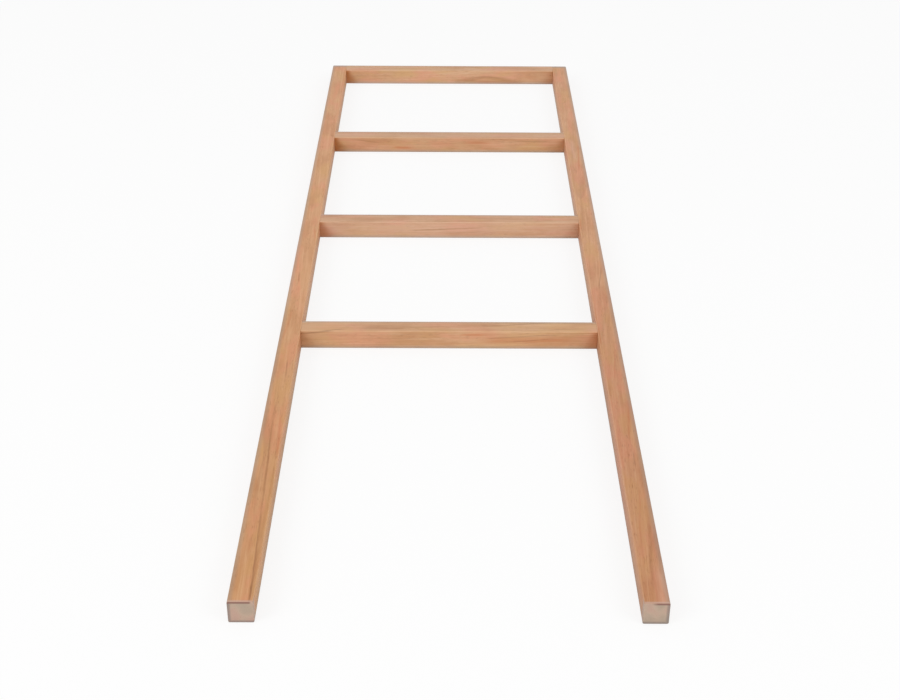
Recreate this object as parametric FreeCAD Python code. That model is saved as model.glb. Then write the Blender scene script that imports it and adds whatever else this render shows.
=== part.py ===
import FreeCAD, Part
import math
import os

from FreeCAD import Vector

# A blanket ladder in solid wood: two square stiles and four square rungs, glued up as one flush
# frame. The top rung lies level with the stiles' top ends, and the stiles run on below the bottom
# rung as two open legs. Each end of each rung butts against a stile and is held by two fluted
# dowels in blind holes, so no fastener shows. Nothing on the ladder moves.
#
# The ladder lies on its back. +X runs across it to the right, +Y runs from the foot ends to the
# top, and +Z points out of its front. The origin is the middle of the outline, on the plane of
# the back faces. All sizes are in millimetres.

# Outline
ladder_width = 500.0  # over the outer faces of the stiles
ladder_length = 1750.0  # from the foot ends to the top ends

# Stock
stile_width = 30.0  # across the ladder
rung_height = 30.0  # along the ladder
stock_depth = 30.0  # front to back, alike on stiles and rungs, which finish flush

# Rungs, from the top down
rung_names = ["top", "second", "third", "bottom"]
rung_pitch = 370.0  # from the top of one rung to the top of the next

# Edges, rubbed round after the frame is glued up
edge_radius = 2.0  # long edges and the top end
foot_edge_radius = 1.0  # round the sawn foot ends

# Dowels
dowel_diameter = 8.0
dowel_length = 40.0
dowel_chamfer = 1.0  # at both ends
dowel_spacing = 14.0  # between the two dowels of a joint, along the ladder
flute_count = 12
flute_radius = 0.4
stile_hole_depth = 16.0  # the dowel is driven home to the floor of this hole
glue_gap = 0.05  # round the dowel
glue_well = 2.0  # past the dowel's end in the rung

sides = {"left": -1, "right": 1}
tolerance = 1e-4

inner_half_width = ladder_width / 2 - stile_width
top_end = ladder_length / 2
foot_end = -ladder_length / 2


def box(x_range, y_range):
    """A block of stock over two ranges, from the back plane to the front."""
    size_x = x_range[1] - x_range[0]
    size_y = y_range[1] - y_range[0]
    return Part.makeBox(size_x, size_y, stock_depth, Vector(x_range[0], y_range[0], 0))


def stile_blank(sign):
    """The square-edged stile on one side, at its place."""
    across = sorted([sign * inner_half_width, sign * ladder_width / 2])
    return box(across, (foot_end, top_end))


def rung_top(index):
    """The height of a rung's top face, where index 0 is the top rung."""
    return top_end - index * rung_pitch


def rung_blank(index):
    """A square-edged rung between the stiles, at its place."""
    return box((-inner_half_width, inner_half_width), (rung_top(index) - rung_height, rung_top(index)))


def at_foot(edge):
    """Whether an edge lies in the plane of the foot ends."""
    return all(abs(vertex.Y - foot_end) < tolerance for vertex in edge.Vertexes)


def in_corner(edge):
    """Whether an edge is one where a rung meets a stile, front to back."""
    return edge.BoundBox.ZLength > tolerance and all(
        abs(abs(vertex.X) - inner_half_width) < tolerance for vertex in edge.Vertexes
    )


def eased_frame():
    """The glued-up frame as one body with its edges rubbed round, before it is told into pieces."""
    blanks = [stile_blank(sign) for sign in sides.values()]
    blanks += [rung_blank(index) for index in range(len(rung_names))]
    frame = blanks[0].fuse(blanks[1:]).removeSplitter()
    long_edges = [edge for edge in frame.Edges if not at_foot(edge) and not in_corner(edge)]
    frame = frame.makeFillet(edge_radius, long_edges)
    return frame.makeFillet(foot_edge_radius, [edge for edge in frame.Edges if at_foot(edge)])


def dowel_axes(index):
    """The two dowel centres of a rung's end, as (name, height along the ladder)."""
    middle = rung_top(index) - rung_height / 2
    return [("upper", middle + dowel_spacing / 2), ("lower", middle - dowel_spacing / 2)]


def dowel_start(sign, y):
    """The centre of a dowel's outer end, on the floor of its hole in the stile."""
    return Vector(sign * (inner_half_width + stile_hole_depth), y, stock_depth / 2)


def inward(sign):
    """The direction from a stile into a rung."""
    return Vector(-sign, 0, 0)


def dowel_hole(sign, y):
    """The bore that stile and rung share for one dowel, from floor to floor."""
    radius = dowel_diameter / 2 + glue_gap
    return Part.makeCylinder(radius, dowel_length + glue_well, dowel_start(sign, y), inward(sign))


def fluted_section():
    """The dowel's cross-section at the origin: a round with small half-round flutes."""
    radius = dowel_diameter / 2
    flute_step = 2 * math.pi / flute_count
    half_mouth = 2 * math.asin(flute_radius / (2 * radius))

    def on_rim(angle):
        return Vector(radius * math.cos(angle), radius * math.sin(angle), 0)

    edges = []
    for flute in range(flute_count):
        angle = flute * flute_step
        floor_radius = radius - flute_radius
        floor = Vector(floor_radius * math.cos(angle), floor_radius * math.sin(angle), 0)
        before, after = on_rim(angle - half_mouth), on_rim(angle + half_mouth)
        crest = on_rim(angle + flute_step / 2)
        next_mouth = on_rim(angle + flute_step - half_mouth)
        edges.append(Part.Arc(before, floor, after).toShape())
        edges.append(Part.Arc(after, crest, next_mouth).toShape())
    return Part.Face(Part.Wire(edges))


def chamfered_rod():
    """The dowel's round outline with both ends chamfered, from the origin along +Z."""
    radius = dowel_diameter / 2
    end_radius = radius - dowel_chamfer
    shank = dowel_length - 2 * dowel_chamfer
    near_cone = Part.makeCone(end_radius, radius, dowel_chamfer)
    cylinder = Part.makeCylinder(radius, shank, Vector(0, 0, dowel_chamfer))
    far_cone = Part.makeCone(radius, end_radius, dowel_chamfer, Vector(0, 0, dowel_chamfer + shank))
    return near_cone.fuse([cylinder, far_cone]).removeSplitter()


def dowel_at(pattern, sign, y):
    """A copy of the dowel, set home in its hole."""
    turn = FreeCAD.Rotation(Vector(0, 0, 1), inward(sign))
    dowel = pattern.copy()
    dowel.Placement = FreeCAD.Placement(dowel_start(sign, y), turn)
    return dowel


def write(name, shape):
    """Writes one piece, which has to be a single solid, under its name."""
    (solid,) = shape.Solids
    solid.exportStep(f"parts/{name}.step")
    print(f"{name}: {solid.Volume / 1000:.2f} cm3")


os.makedirs("parts", exist_ok=True)

frame = eased_frame()
bores = {
    (index, side): [dowel_hole(sign, y) for _, y in dowel_axes(index)]
    for index in range(len(rung_names))
    for side, sign in sides.items()
}

for side, sign in sides.items():
    own_bores = [bore for (_, bored_side), pair in bores.items() if bored_side == side for bore in pair]
    write(f"{side}_stile", frame.common(stile_blank(sign)).cut(own_bores))

for index, rung_name in enumerate(rung_names):
    own_bores = [bore for side in sides for bore in bores[index, side]]
    write(f"{rung_name}_rung", frame.common(rung_blank(index)).cut(own_bores))

dowel = fluted_section().extrude(Vector(0, 0, dowel_length)).common(chamfered_rod())
for index, rung_name in enumerate(rung_names):
    for side, sign in sides.items():
        for place, y in dowel_axes(index):
            write(f"{rung_name}_rung_{side}_{place}_dowel", dowel_at(dowel, sign, y))
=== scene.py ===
"""The looks of a solid wood blanket ladder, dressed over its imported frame.

The ladder lies on its back: +X runs across it to the right, +Y from the feet to the top and +Z out
of its front. Its six sticks are modelled as the maker makes them. They are glued up as one flush
frame, the frame's edges are eased together, and then each stick is told apart at its joints, bored
for its dowels and given its own piece of teak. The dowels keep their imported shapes.
"""

import logging
import math
from collections.abc import Callable, Iterator
from contextlib import contextmanager
from dataclasses import dataclass
from enum import Enum, IntEnum
from typing import ClassVar

import bmesh
import bpy
from mathutils import Matrix, Vector


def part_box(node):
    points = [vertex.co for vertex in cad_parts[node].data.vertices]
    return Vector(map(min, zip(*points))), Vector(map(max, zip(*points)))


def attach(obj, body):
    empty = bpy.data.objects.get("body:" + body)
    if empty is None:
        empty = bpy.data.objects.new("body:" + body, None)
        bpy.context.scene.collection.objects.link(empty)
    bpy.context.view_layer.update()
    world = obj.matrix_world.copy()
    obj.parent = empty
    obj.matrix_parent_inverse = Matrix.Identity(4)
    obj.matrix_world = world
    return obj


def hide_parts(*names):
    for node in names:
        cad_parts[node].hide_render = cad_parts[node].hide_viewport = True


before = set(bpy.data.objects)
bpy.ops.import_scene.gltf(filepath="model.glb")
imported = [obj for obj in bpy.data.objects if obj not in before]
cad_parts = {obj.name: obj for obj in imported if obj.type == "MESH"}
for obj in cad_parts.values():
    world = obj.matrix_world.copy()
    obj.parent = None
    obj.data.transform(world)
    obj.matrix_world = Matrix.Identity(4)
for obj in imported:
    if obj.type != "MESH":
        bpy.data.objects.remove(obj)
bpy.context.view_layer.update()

log = logging.getLogger("blanket_ladder")

MM = 0.001
PER_METRE = 1000.0  # millimetres in a metre
BODY = "root"
TOUCH = 0.01 * MM  # two places closer than this are the same
FLAT = math.radians(5)  # faces that meet at less than this are one flat
SOFT = math.radians(40)  # faces that meet at less than this are shaded as one
SQUARE = math.radians(80)  # faces that meet at more than this have a sharp edge between them

Colour = tuple[float, float, float, float]


def srgb(*parts: int) -> Colour:
    """Turns a colour as a screen shows it into the linear one that a shader takes.

    Args:
        *parts: Its red, green and blue, from 0 to 255.

    Returns:
        The linear colour, with full opacity.
    """
    shares = (part / 255 for part in parts)
    linear = (share / 12.92 if share <= 0.04045 else ((share + 0.055) / 1.055) ** 2.4 for share in shares)
    return (*linear, 1.0)


# Places, read from the frame


class Way(IntEnum):
    """A way through the ladder, which is also the number of its axis."""

    ACROSS = 0
    ALONG = 1
    UP = 2

    @property
    def other(self) -> "Way":
        """The way at right angles to this one, in the ladder's plane."""
        return Way.ALONG if self is Way.ACROSS else Way.ACROSS


@dataclass(frozen=True)
class Box:
    """The room that a stick or a dowel fills.

    Attributes:
        low: Its lowest corner, in metres.
        high: Its highest corner, in metres.
    """

    low: Vector
    high: Vector

    @classmethod
    def of(cls, node: str) -> "Box":
        """Reads the box of a node of the frame."""
        return cls(*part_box(node))

    @property
    def middle(self) -> Vector:
        """The box's centre."""
        return (self.low + self.high) / 2

    @property
    def size(self) -> Vector:
        """The box's length along each axis."""
        return self.high - self.low

    def spans(self, way: Way, place: float) -> bool:
        """Tells whether a place along one way lies inside the box."""
        return self.low[way] < place < self.high[way]


# Bench work: meshes shaped in edit mode


class Keep(Enum):
    """What stays of a mesh when it is sawn through."""

    BOTH = "both"
    AHEAD = "ahead"
    BEHIND = "behind"


class Part(Enum):
    """A kind of part that a mesh has, with the name of its list."""

    FACE = "faces"
    EDGE = "edges"


def deselect_all() -> None:
    """Lets go of every object, so that the next operator acts on new work alone."""
    for thing in bpy.context.selected_objects:
        thing.select_set(False)


class Workpiece:
    """A mesh on the bench, whose faces and edges are picked by their place and then worked."""

    def __init__(self, name: str) -> None:
        """Takes the mesh object that was just made to the bench, and names it."""
        self.thing = bpy.context.object
        self.thing.name = self.thing.data.name = name

    @classmethod
    def sheet(cls, name: str, room: Box) -> "Workpiece":
        """Lays a flat rectangle of mesh on the floor of a box.

        Args:
            name: The new object's name.
            room: The box whose floor the rectangle covers.

        Returns:
            The rectangle, with its object at the origin.
        """
        deselect_all()
        bpy.ops.mesh.primitive_plane_add(size=1, location=(room.middle.x, room.middle.y, room.low.z))
        made = cls(name)
        made.thing.scale = (room.size.x, room.size.y, 1)
        bpy.ops.object.transform_apply()
        return made

    def take(self) -> None:
        """Makes this the one object that operators act on."""
        deselect_all()
        self.thing.select_set(True)
        bpy.context.view_layer.objects.active = self.thing

    def copy(self, name: str) -> "Workpiece":
        """Copies the piece with a mesh of its own.

        Args:
            name: The copy's name.

        Returns:
            The copy.
        """
        self.take()
        bpy.ops.object.duplicate(linked=False)
        return Workpiece(name)

    def scrap(self) -> None:
        """Takes the piece off the bench for good."""
        bpy.data.objects.remove(self.thing)

    @contextmanager
    def shaping(self) -> Iterator[None]:
        """Opens the piece in edit mode with nothing picked, and closes it afterwards."""
        self.take()
        bpy.ops.object.mode_set(mode="EDIT")
        bpy.ops.mesh.select_all(action="DESELECT")
        yield
        bpy.ops.object.mode_set(mode="OBJECT")

    def pick(self, kind: Part, wanted: Callable[[bmesh.types.BMFace | bmesh.types.BMEdge], bool]) -> None:
        """Picks the faces or edges that pass a test, and nothing else.

        Args:
            kind: The kind of part that is picked.
            wanted: Tells of a part whether it is picked.
        """
        bpy.ops.mesh.select_mode(type=kind.name)
        bpy.ops.mesh.select_all(action="DESELECT")
        shape = bmesh.from_edit_mesh(self.thing.data)
        for part in getattr(shape, kind.value):
            if wanted(part):
                part.select_set(True)
        bmesh.update_edit_mesh(self.thing.data)

    def drop_faces(self, unwanted: Callable[[bmesh.types.BMFace], bool]) -> None:
        """Deletes the faces that pass a test."""
        self.pick(Part.FACE, unwanted)
        bpy.ops.mesh.delete(type="FACE")

    def saw(self, way: Way, place: float, keep: Keep = Keep.BOTH) -> None:
        """Saws the whole piece square across one way.

        Args:
            way: The way that the cut stands across.
            place: Where the cut is along that way, in metres.
            keep: What stays of the piece.
        """
        point, normal = Vector(), Vector()
        point[way], normal[way] = place, 1
        bpy.ops.mesh.select_all(action="SELECT")
        clear = {"clear_inner": keep is Keep.AHEAD, "clear_outer": keep is Keep.BEHIND}
        bpy.ops.mesh.bisect(plane_co=point, plane_no=normal, threshold=TOUCH, **clear)

    def round_picked(self, radius: float, steps: int) -> None:
        """Rounds the picked edges over to a radius in metres, in a number of flat steps."""
        bpy.ops.mesh.bevel(offset=radius, segments=steps, profile=0.5, affect="EDGES", loop_slide=False)

    def close_holes(self) -> None:
        """Fills each open end with one face."""
        self.pick(Part.EDGE, lambda edge: edge.is_boundary)
        bpy.ops.mesh.fill_holes(sides=0)

    def apply(self, kind: str, **settings: object) -> None:
        """Adds a modifier and makes it part of the mesh.

        Args:
            kind: The modifier's kind.
            **settings: Its settings by name.
        """
        self.take()
        modifier = self.thing.modifiers.new(kind.title(), kind)
        for setting, value in settings.items():
            setattr(modifier, setting, value)
        bpy.ops.object.modifier_apply(modifier=modifier.name)


def level_with(edge: bmesh.types.BMEdge, way: Way, place: float) -> bool:
    """Tells whether both ends of an edge stand at one place along a way."""
    return all(abs(vertex.co[way] - place) < TOUCH for vertex in edge.verts)


def is_square(edge: bmesh.types.BMEdge) -> bool:
    """Tells whether two faces meet at an edge at about a right angle."""
    return edge.calc_face_angle(0) > SQUARE


@dataclass(frozen=True)
class GluedFrame:
    """The whole ladder as it leaves the clamps, flush all over and then eased as one.

    Attributes:
        stiles: The boxes of the two stiles, left one first.
        rungs: The boxes of the rungs, from the top down.
        edge_radius: The rounding of every long edge and of the top end.
        edge_steps: The flats in that rounding.
        foot_radius: The rounding round the sawn foot ends.
        foot_steps: The flats in that rounding.
    """

    stiles: tuple[Box, Box]
    rungs: tuple[Box, ...]
    edge_radius: float = 2.0 * MM
    edge_steps: int = 4
    foot_radius: float = 1.0 * MM
    foot_steps: int = 3

    @property
    def outline(self) -> Box:
        """The box round the whole ladder."""
        return Box(self.stiles[0].low, self.stiles[1].high)

    @property
    def inner_faces(self) -> tuple[float, float]:
        """Where the stiles' inner faces stand across the ladder."""
        return self.stiles[0].high.x, self.stiles[1].low.x

    @property
    def bay_middles(self) -> list[float]:
        """The heights midway between each rung and the next."""
        return [(upper.low.y + lower.high.y) / 2 for upper, lower in zip(self.rungs, self.rungs[1:])]

    def make(self) -> Workpiece:
        """Models the frame.

        Returns:
            The frame as one closed mesh.
        """
        blank = Workpiece.sheet("glued_frame", self.outline)
        with blank.shaping():
            self._open_bays(blank)
            self._raise()
            self._ease_edges(blank)
        return blank

    def _open_bays(self, blank: Workpiece) -> None:
        """Marks the sticks out on the sheet and takes the bays between them away.

        Args:
            blank: The sheet.
        """
        for place in self.inner_faces:
            blank.saw(Way.ACROSS, place)
        rung_sides = [side for rung in self.rungs for side in (rung.low.y, rung.high.y)]
        for place in rung_sides + self.bay_middles:
            blank.saw(Way.ALONG, place)
        blank.drop_faces(lambda face: self._in_bay(face.calc_center_median()))
        blank.pick(Part.EDGE, lambda edge: not edge.is_boundary and not self._at_bay_middle(edge))
        bpy.ops.mesh.dissolve_edges(use_verts=True, angle_threshold=FLAT)

    def _in_bay(self, place: Vector) -> bool:
        """Tells whether a place is between the stiles and clear of the rungs."""
        left, right = self.inner_faces
        return left < place.x < right and not any(rung.spans(Way.ALONG, place.y) for rung in self.rungs)

    def _at_bay_middle(self, edge: bmesh.types.BMEdge) -> bool:
        """Tells whether an edge crosses a stile midway between two rungs."""
        return any(level_with(edge, Way.ALONG, height) for height in self.bay_middles)

    def _raise(self) -> None:
        """Draws the sheet up to the thickness of the stock."""
        bpy.ops.mesh.select_all(action="SELECT")
        rise = Vector((0, 0, self.outline.size.z))
        bpy.ops.mesh.extrude_region_move(TRANSFORM_OT_translate={"value": rise})
        bpy.ops.mesh.select_all(action="SELECT")
        bpy.ops.mesh.normals_make_consistent(inside=False)

    def _ease_edges(self, blank: Workpiece) -> None:
        """Rounds the long edges, which meet in a mitre where rung and stile meet, then the feet.

        Args:
            blank: The frame with its edges sharp.
        """
        blank.pick(
            Part.EDGE,
            lambda edge: is_square(edge) and not self._at_foot(edge) and not self._in_inside_corner(edge),
        )
        blank.round_picked(self.edge_radius, self.edge_steps)
        blank.pick(Part.EDGE, lambda edge: is_square(edge) and self._at_foot(edge))
        blank.round_picked(self.foot_radius, self.foot_steps)

    def _at_foot(self, edge: bmesh.types.BMEdge) -> bool:
        """Tells whether an edge lies in the sawn ends of the feet."""
        return level_with(edge, Way.ALONG, self.outline.low.y)

    def _in_inside_corner(self, edge: bmesh.types.BMEdge) -> bool:
        """Tells whether an edge stands from back to front where a rung meets a stile."""
        upright = not level_with(edge, Way.UP, edge.verts[0].co.z)
        return upright and any(level_with(edge, Way.ACROSS, place) for place in self.inner_faces)


@dataclass(frozen=True)
class Bore:
    """A blind hole across a joint, which a dowel stands in.

    Attributes:
        dowel: The box of the dowel, which lies across the ladder.
        gap: The clearance round the dowel.
        well: The room past the dowel's end in the rung.
        facets: The flats that make up the hole's wall.
    """

    dowel: Box
    gap: float = 0.05 * MM
    well: float = 2.0 * MM
    facets: int = 48

    @property
    def radius(self) -> float:
        """The hole's radius."""
        return self.dowel.size.z / 2 + self.gap

    @property
    def floors(self) -> tuple[float, float]:
        """Where the hole's two floors stand across the ladder, the one in the stile first."""
        towards_middle = -math.copysign(1, self.dowel.middle.x)
        ends = sorted((self.dowel.low.x, self.dowel.high.x), key=abs, reverse=True)
        return ends[0], ends[1] + towards_middle * self.well

    def cutter(self) -> Workpiece:
        """Makes the round bar that cuts this hole.

        Returns:
            The bar, as long as the hole.
        """
        deselect_all()
        outer, inner = self.floors
        bpy.ops.mesh.primitive_cylinder_add(
            vertices=self.facets,
            radius=self.radius,
            depth=abs(outer - inner),
            location=((outer + inner) / 2, self.dowel.middle.y, self.dowel.middle.z),
            rotation=(0, math.pi / 2, 0),
        )
        bpy.ops.object.transform_apply()
        return Workpiece("dowel_bore")

    def has_wall(self, place: Vector, normal: Vector) -> bool:
        """Tells whether a face is part of the hole's round wall.

        Args:
            place: The face's centre.
            normal: The way that it faces.

        Returns:
            Whether the face is on the wall.
        """
        offset = place - self.dowel.middle
        off_axis = math.hypot(offset.y, offset.z)
        return abs(normal.x) < 0.5 and abs(off_axis - self.radius) < 0.1 * self.radius

    def unroll(self, place: Vector, beside: Vector) -> tuple[float, float]:
        """Lays a point of the wall out flat.

        Args:
            place: The point on the wall.
            beside: The centre of its face, which settles the turn that it belongs to.

        Returns:
            How far round the hole and how deep from the stile's floor the point is, in metres.
        """
        offsets = (point - self.dowel.middle for point in (place, beside))
        turn, face_turn = (math.atan2(offset.z, offset.y) for offset in offsets)
        step = math.remainder(turn - face_turn, 2 * math.pi)
        return (face_turn + step + math.pi) * self.radius, abs(place.x - self.floors[0])


# The map that a stick's grain is baked through


@dataclass(frozen=True)
class BakeMap:
    """A flat plan of a stick: its sides cut into short strips and laid side by side.

    A long thin side would fill a square plan badly, so each is cut into equal lengths first. The
    two ends and the walls of the dowel holes lie in a row of their own beyond the strips.

    Attributes:
        box: The stick's box.
        run: The way that the stick runs.
        lengths: How many lengths each side is cut into.
        bores: The dowel holes in the stick.
        gap: The room round each strip.
        name: The map's name, by which it is kept for the baking.
    """

    box: Box
    run: Way
    lengths: int
    bores: tuple[Bore, ...]
    gap: float = 1.5 * MM
    name: str = "OFBake"

    @property
    def strip_length(self) -> float:
        """The length of one strip."""
        return self.box.size[self.run] / self.lengths

    @property
    def cuts(self) -> list[float]:
        """Where the sides are cut, along the stick."""
        return [self.box.low[self.run] + self.strip_length * number for number in range(1, self.lengths)]

    @property
    def pitch(self) -> float:
        """The room that one strip takes across the plan."""
        return self.box.size.z + self.gap

    @property
    def side(self) -> float:
        """The side of the square plan, which holds four rows of strips and the row beyond them."""
        across = 4 * self.lengths * self.pitch + self.gap
        return max(across, self.strip_length + self.box.size.z + 3 * self.gap)

    def lay_out(self, piece: Workpiece) -> None:
        """Gives a stick its map.

        Args:
            piece: The finished stick, with edges where its sides are cut.
        """
        mesh = piece.thing.data
        layer = mesh.uv_layers.new(name=self.name)
        for face in mesh.polygons:
            for corner in face.loop_indices:
                place = mesh.vertices[mesh.loops[corner].vertex_index].co
                layer.data[corner].uv = self._spot(place, face.center, face.normal) / self.side

    def _spot(self, place: Vector, centre: Vector, normal: Vector) -> Vector:
        """Finds where a corner of a face goes on the plan.

        Args:
            place: The corner.
            centre: The face's centre.
            normal: The way that the face looks.

        Returns:
            The spot on the plan, in metres from its corner.
        """
        run, across = self.run, self.run.other
        for number, bore in enumerate(self.bores):
            if bore.has_wall(centre, normal):
                round_it, depth = bore.unroll(place, centre)
                return self._in_end_row(2 + number, round_it, depth % self.box.size.z)
        offset = place - self.box.low
        if abs(normal[run]) > math.sqrt(0.5):
            return self._in_end_row(int(normal[run] > 0), offset[across], offset.z)
        facing_up = abs(normal.z) > abs(normal[across])
        looks = normal.z if facing_up else normal[across]
        side = 2 * int(facing_up) + int(looks > 0)
        length = min(int((centre[run] - self.box.low[run]) / self.strip_length), self.lengths - 1)
        column = side * self.lengths + length
        width_wise = offset[across] if facing_up else offset.z
        length_wise = offset[run] - length * self.strip_length
        return Vector((self.gap + column * self.pitch + width_wise, self.gap + length_wise))

    def _in_end_row(self, column: int, width_wise: float, height_wise: float) -> Vector:
        """Finds a spot in the row beyond the strips."""
        start = Vector((self.gap + column * self.pitch, 2 * self.gap + self.strip_length))
        return start + Vector((width_wise, height_wise))


# Finishes: the node graphs of the materials


def reckon(operation: str) -> Callable[..., "Reading"]:
    """Makes a method that does one kind of sum on a reading.

    Args:
        operation: The sum, as a math node names it.

    Returns:
        The method, which takes the other numbers of the sum.
    """

    def method(self: "Reading", *others: "Value") -> "Reading":
        """Does the sum on the reading and the other numbers."""
        return self.graph.math(operation, self, *others)

    return method


@dataclass(frozen=True)
class Reading:
    """A number read at each point of a surface, on which sums are done by adding nodes.

    Attributes:
        graph: The nodes that it is read from.
        socket: The output that gives it.
    """

    graph: "Graph"
    socket: bpy.types.NodeSocket

    __add__ = reckon("ADD")
    __sub__ = reckon("SUBTRACT")
    __mul__ = reckon("MULTIPLY")
    __truediv__ = reckon("DIVIDE")
    __pow__ = reckon("POWER")
    __abs__ = reckon("ABSOLUTE")
    least = reckon("MINIMUM")
    most = reckon("MAXIMUM")
    root = reckon("SQRT")
    whole = reckon("FLOOR")
    fraction = reckon("FRACT")

    def __rsub__(self, other: float) -> "Reading":
        """Takes this from a number."""
        return self.graph.math("SUBTRACT", other, self)

    def ramp(self, start: float, end: float, low: float = 0.0, high: float = 1.0) -> "Reading":
        """Eases from a low number to a high one while this goes from a start to an end."""
        feeds = {0: self, 1: start, 2: end, 3: low, 4: high}
        return self.graph.read("ShaderNodeMapRange", feeds, interpolation_type="SMOOTHSTEP")


Value = Reading | bpy.types.NodeSocket | bpy.types.Node | float | Vector | tuple[float, ...]


@dataclass(frozen=True)
class Cloud:
    """A cloudy noise that is drawn out along the grain.

    Attributes:
        across: How many clouds there are to a millimetre across the grain.
        along: How many there are to a millimetre along it.
        detail: How many finer layers there are.
        rough: How strong those layers are.
    """

    across: float
    along: float
    detail: float = 2.0
    rough: float = 0.5


class Figure(Enum):
    """What the clouds draw in the wood."""

    BROAD_FIBRES = Cloud(0.36, 0.006, 3.0, 0.55)
    FINE_FIBRES = Cloud(1.7, 0.03, 3.0, 0.6)
    PORES = Cloud(1.5, 0.09, 1.0, 0.4)
    PORE_CROWDS = Cloud(0.12, 0.01, 1.0)
    RING_BENDS = Cloud(0.02, 0.0035)
    RING_STRETCHES = Cloud(0.05, 0.005, 1.0)
    ROSE = Cloud(0.03, 0.011, 3.0, 0.55)
    PATCHES = Cloud(0.034, 0.01, 3.0, 0.55)
    STREAK_WAVER = Cloud(0.06, 0.02)
    STREAK_BREAKS = Cloud(0.7, 0.04, 3.0, 0.6)
    WEAR = Cloud(0.3, 0.02)
    END_PORES = Cloud(1.3, 0.2, 1.0)
    END_MOTTLE = Cloud(0.045, 0.02, 1.0, 0.4)
    OIL = Cloud(0.1, 0.05)
    SEAM = Cloud(0.25, 0.25, 3.0, 0.6)
    DOWEL_FIBRES = Cloud(1.6, 0.04, 3.0, 0.6)
    DOWEL_FLECKS = Cloud(2.2, 0.35, 1.0)


class Graph:
    """The nodes of one material, or of the world, joined up as they are added."""

    def __init__(self, owner: bpy.types.Material | bpy.types.World) -> None:
        """Clears the nodes of a material or a world.

        Args:
            owner: The material or the world.
        """
        self.owner = owner
        owner.use_nodes = True
        self.tree = owner.node_tree
        self.tree.nodes.clear()

    def add(self, kind: str, feeds: dict[str | int, Value], **settings: object) -> bpy.types.Node:
        """Adds a node.

        Args:
            kind: The node's kind.
            feeds: What goes into its sockets: a reading, an output, a node whose first output is
                meant, or a fixed value.
            **settings: The node's own settings by name.

        Returns:
            The node.
        """
        node = self.tree.nodes.new(kind)
        for setting, value in settings.items():
            setattr(node, setting, value)
        for name, value in feeds.items():
            if isinstance(value, bpy.types.Node):
                value = value.outputs[0]
            elif isinstance(value, Reading):
                value = value.socket
            if isinstance(value, bpy.types.NodeSocket):
                self.tree.links.new(value, node.inputs[name])
            else:
                node.inputs[name].default_value = value
        return node

    def read(self, kind: str, feeds: dict[str | int, Value], **settings: object) -> Reading:
        """Adds a node and reads its first output."""
        return Reading(self, self.add(kind, feeds, **settings).outputs[0])

    def math(self, operation: str, *values: Value) -> Reading:
        """Works out a number from others."""
        return self.read("ShaderNodeMath", dict(enumerate(values)), operation=operation)

    def noise(self, place: Value, figure: Figure, run: Way) -> Reading:
        """Adds a cloudy noise.

        Args:
            place: The coordinates that it reads, in millimetres.
            figure: What its clouds draw.
            run: The way that the grain runs in those coordinates.

        Returns:
            The noise, from 0 to 1.
        """
        cloud = figure.value
        scale = Vector((cloud.across, cloud.across, cloud.across))
        scale[run] = cloud.along
        stretched = self.add("ShaderNodeMapping", {"Vector": place, "Scale": scale})
        feeds = {"Vector": stretched, "Scale": 1.0, "Detail": cloud.detail, "Roughness": cloud.rough}
        return self.read("ShaderNodeTexNoise", feeds)

    def finish(self, shader: bpy.types.Node) -> bpy.types.Material:
        """Puts a shader on the surface, which finishes the material."""
        self.add("ShaderNodeOutputMaterial", {"Surface": shader})
        return self.owner


@dataclass
class Coat:
    """A colour that is built up in layers.

    Attributes:
        graph: The nodes that it is made of.
        colour: The colour so far.
    """

    graph: Graph
    colour: Value

    def lay(self, amount: Value, tint: Value, how: str = "MIX") -> None:
        """Lays an amount of another colour, from 0 to 1, over the one so far."""
        feeds = {0: amount, 6: self.colour, 7: tint}
        self.colour = self.graph.add("ShaderNodeMix", feeds, data_type="RGBA", blend_type=how).outputs[2]


class Face(Enum):
    """A face that streaks show on: the coordinate that points out of it and the one across it."""

    FRONT = ("up", "across")
    FOOT_SIDE = ("across", "up")


class Stain(Enum):
    """The colour of a streak in the wood."""

    DARK = srgb(136, 88, 56)
    BROWN = srgb(170, 120, 78)
    RUST = srgb(198, 120, 76)
    SALMON = srgb(224, 152, 120)
    PALE = srgb(222, 180, 155)


DARK, BROWN, RUST, SALMON, PALE = Stain


@dataclass(frozen=True)
class Streak:
    """A streak in the grain that shows on one face of a stick.

    Lengths are in millimetres from the stick's middle.

    Attributes:
        face: The face that it shows on.
        start: Where it starts along the stick.
        end: Where it ends.
        at_start: Where it lies across the face at its start.
        at_end: Where it lies across the face at its end.
        width: Half its width.
        strength: How strongly it shows, from 0 to 1.
        stain: Its colour.
        fade: The length over which each end fades out.
        bow: How far it bows out halfway.
    """

    face: Face
    start: float
    end: float
    at_start: float
    at_end: float
    width: float
    strength: float
    stain: Stain = DARK
    fade: float = 30.0
    bow: float = 0.0


def drawn_on(face: Face, *rows: tuple[float | Stain, ...]) -> tuple[Streak, ...]:
    """Lists the streaks on one face, each from a row of its other fields in their order."""
    return tuple(Streak(face, *row) for row in rows)


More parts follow.
